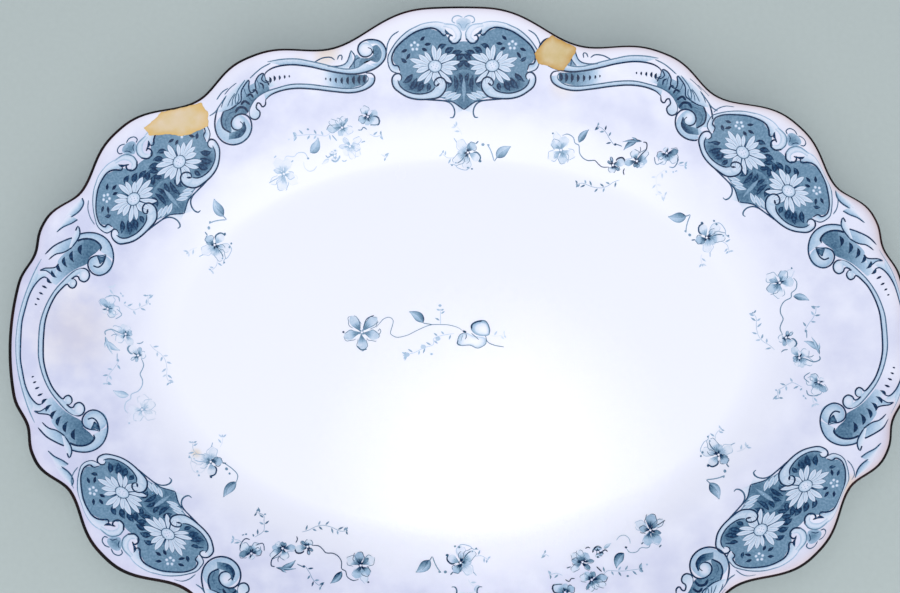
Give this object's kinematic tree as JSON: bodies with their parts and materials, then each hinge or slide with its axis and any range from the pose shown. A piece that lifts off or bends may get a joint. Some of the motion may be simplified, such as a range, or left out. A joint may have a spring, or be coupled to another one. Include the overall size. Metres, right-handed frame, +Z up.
{
  "type": "oval serving platter",
  "caption": "Shallow oval earthenware serving platter with a flat well, a sloping border, a scalloped lip and an oval foot ring.",
  "frame": {"origin": "middle of the plane that the foot ring stands on", "axes": "+X along the platter's length, +Y across it, +Z up out of the well"},
  "size_m": [0.406, 0.312, 0.036],
  "materials": {
    "biscuit": "matte fired earthenware, stained tan where the glaze is lost",
    "foot": "matte fired earthenware, wiped free of glaze",
    "glaze": "glossy clear glaze on a white body"
  },
  "bodies": {
    "root": {"biscuit_body": "biscuit", "foot_ring": "foot", "face_glaze": "glaze", "back_glaze": "glaze", "base_glaze": "glaze"}
  },
  "joints": []
}
